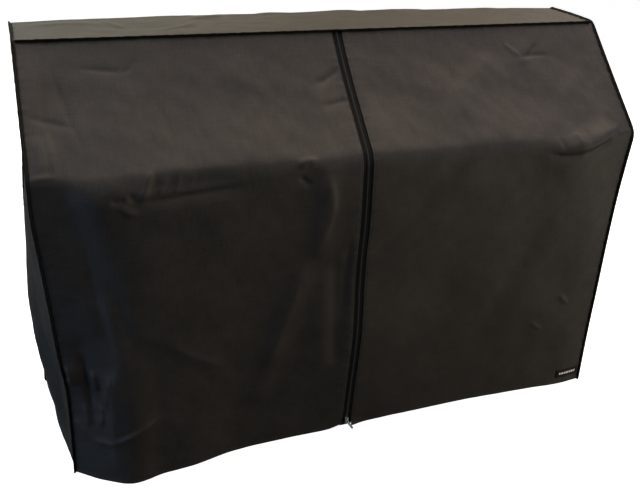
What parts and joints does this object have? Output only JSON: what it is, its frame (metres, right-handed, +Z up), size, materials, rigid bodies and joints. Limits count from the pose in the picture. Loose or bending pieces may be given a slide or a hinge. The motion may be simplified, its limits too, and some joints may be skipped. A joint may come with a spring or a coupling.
{
  "type": "fitted dust cover for a digital console piano",
  "caption": "Loose black cloth dust cover shaped to a console piano: narrow top, sloping front that drops from the key edge, centre zip, bound end seams, open underneath.",
  "frame": {"origin": "middle of the piano's top, on the underside of the cover's top", "axes": "+Z up, front towards -Y, +X to the right as seen from the front"},
  "size_m": [1.4927, 0.5135, 0.9922],
  "materials": {
    "cloth": "plain-woven polyester, charcoal black, slight sheen, soft folds",
    "binding_tape": "woven polyester tape, folded over the seam, matt black",
    "zip_tape": "woven zip tape, matt black",
    "zip_coil": "nylon coil, satin black",
    "slider_metal": "die-cast zinc, nickel-plated, satin",
    "label_weave": "woven label, black, with a plain pale bar and no lettering"
  },
  "bodies": {
    "root": {"front_left_panel": "cloth", "front_right_panel": "cloth", "top_back_panel": "cloth", "left_end_panel": "cloth", "right_end_panel": "cloth", "top_front_binding": "binding_tape", "left_end_binding": "binding_tape", "right_end_binding": "binding_tape", "zip_tape_left": "zip_tape", "zip_tape_right": "zip_tape", "zip_coil": "zip_coil", "zip_slider": "slider_metal", "zip_pull": "slider_metal", "label": "label_weave"}
  },
  "joints": []
}
